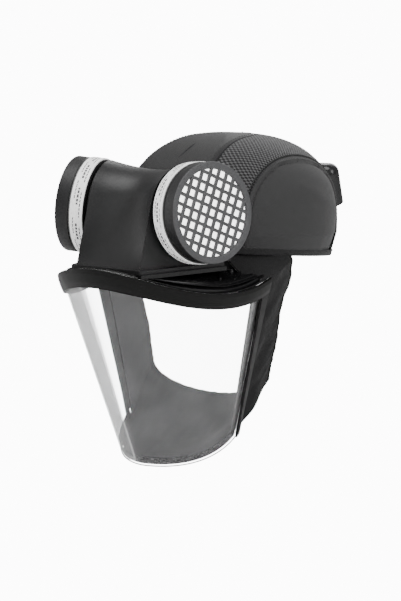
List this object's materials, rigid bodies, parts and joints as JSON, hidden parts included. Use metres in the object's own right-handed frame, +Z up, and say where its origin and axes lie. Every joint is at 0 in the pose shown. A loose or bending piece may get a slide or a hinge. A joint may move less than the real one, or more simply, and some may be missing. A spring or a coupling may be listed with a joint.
{
  "type": "powered air respirator",
  "caption": "Head-worn powered air respirator: bump cap with front blower between two round screw-on filters, clear visor, fabric face seal and rear battery pack.",
  "frame": {"origin": "middle of the head opening, level with the lower edge of the cap", "axes": "+Z up along the standing head, -Y to the wearer's front, +X to the wearer's left"},
  "size_m": [0.176, 0.3485, 0.2703],
  "materials": {
    "shell_plastic": "satin",
    "foam": "matte",
    "sweatband_cloth": "matte",
    "elastic_webbing": "matte",
    "cap_cloth": "satin",
    "cap_mesh": "matte",
    "binding_tape": "matte",
    "housing_plastic": "satin",
    "inner_plastic": "matte",
    "steel": "satin",
    "motor_can": "satin",
    "circuit_board": "satin",
    "lead_sheath": "matte",
    "clear_visor": "gloss",
    "visor_rubber": "satin",
    "hook_tape": "matte",
    "pale_tape": "satin",
    "peak_plastic": "satin",
    "seal_cloth": "matte",
    "battery_plastic": "satin",
    "cell_wrap": "gloss",
    "button_rubber": "matte",
    "status_lens": "gloss",
    "brass": "satin",
    "gasket_rubber": "matte",
    "filter_plastic": "satin",
    "label_paper": "satin",
    "filter_paper": "matte",
    "grille_plastic": "satin"
  },
  "bodies": {
    "cap": {"base_plate": "housing_plastic", "battery_contacts": "brass", "battery_cradle": "battery_plastic", "blower_back_cover": "housing_plastic", "blower_housing": "housing_plastic", "brow_band": "visor_rubber", "brow_retainer": "inner_plastic", "cap_shell": "shell_plastic", "charge_socket": "steel", "control_board": "circuit_board", "crown_mesh_panel": "cap_mesh", "crown_pad": "foam", "edge_binding": "binding_tape", "edge_tape_left": "pale_tape", "edge_tape_right": "pale_tape", "face_seal": "seal_cloth", "fan_bearings": "steel", "fan_casing": "inner_plastic", "front_panel": "cap_cloth", "hook_strip": "hook_tape", "housing_screws": "steel", "motor": "motor_can", "motor_bracket": "inner_plastic", "nape_strap": "elastic_webbing", "peak_tray": "peak_plastic", "port_collar_left": "inner_plastic", "port_collar_right": "inner_plastic", "power_lead": "lead_sheath", "side_panel_left": "cap_cloth", "side_panel_right": "cap_cloth", "side_trim_left": "visor_rubber", "side_trim_right": "visor_rubber", "status_lens": "status_lens", "sweatband": "sweatband_cloth", "switch_board": "circuit_board", "visor_lens": "clear_visor"},
    "impeller": {"impeller": "inner_plastic", "fan_shaft": "steel"},
    "filter_left": {"filter_canister_left": "filter_plastic", "label_band_left": "label_paper", "lock_ring_left": "grille_plastic", "filter_media_left": "filter_paper", "filter_grille_left": "grille_plastic"},
    "filter_right": {"filter_canister_right": "filter_plastic", "label_band_right": "label_paper", "lock_ring_right": "grille_plastic", "filter_media_right": "filter_paper", "filter_grille_right": "grille_plastic"},
    "gasket_left": {"filter_gasket_left": "gasket_rubber"},
    "gasket_right": {"filter_gasket_right": "gasket_rubber"},
    "battery": {"battery_case_outer": "battery_plastic", "battery_case_inner": "battery_plastic", "battery_cells": "cell_wrap"},
    "power_button": {"power_button": "button_rubber"},
    "release_latch": {"release_latch": "button_rubber"}
  },
  "joints": [
    {"name": "fan_spin", "type": "hinge", "parent": "cap", "child": "impeller", "pos_m": [0, -0.1315, 0.01], "axis": [0, 0, 1], "continuous": true},
    {"name": "filter_left_lift", "type": "slide", "parent": "cap", "child": "gasket_left", "axis": [0.9573, -0.2745, 0.0906], "range_m": [0, 0.0125]},
    {"name": "filter_left_turn", "type": "hinge", "parent": "gasket_left", "child": "filter_left", "pos_m": [0.04672, -0.1184, 0.04442], "axis": [0.9573, -0.2745, 0.0906], "range_deg": [0, 1080]},
    {"name": "filter_right_lift", "type": "slide", "parent": "cap", "child": "gasket_right", "axis": [-0.9573, -0.2745, 0.0906], "range_m": [0, 0.0125]},
    {"name": "filter_right_turn", "type": "hinge", "parent": "gasket_right", "child": "filter_right", "pos_m": [-0.04672, -0.1184, 0.04442], "axis": [-0.9573, -0.2745, 0.0906], "range_deg": [0, 1080]},
    {"name": "battery_slide", "type": "slide", "parent": "cap", "child": "battery", "axis": [0, -0.309, 0.9511], "range_m": [0, 0.045]},
    {"name": "power_press", "type": "slide", "parent": "cap", "child": "power_button", "axis": [0, -1, 0], "range_m": [0, 0.0009], "stiffness_N_per_m": 900},
    {"name": "latch_press", "type": "slide", "parent": "cap", "child": "release_latch", "axis": [-1, 0, 0], "range_m": [0, 0.0018], "stiffness_N_per_m": 600}
  ],
  "couplings": [
    {"joint": "filter_left_lift", "follows": "filter_left_turn", "m_per_rad": 0.00063662},
    {"joint": "filter_right_lift", "follows": "filter_right_turn", "m_per_rad": 0.00063662}
  ]
}
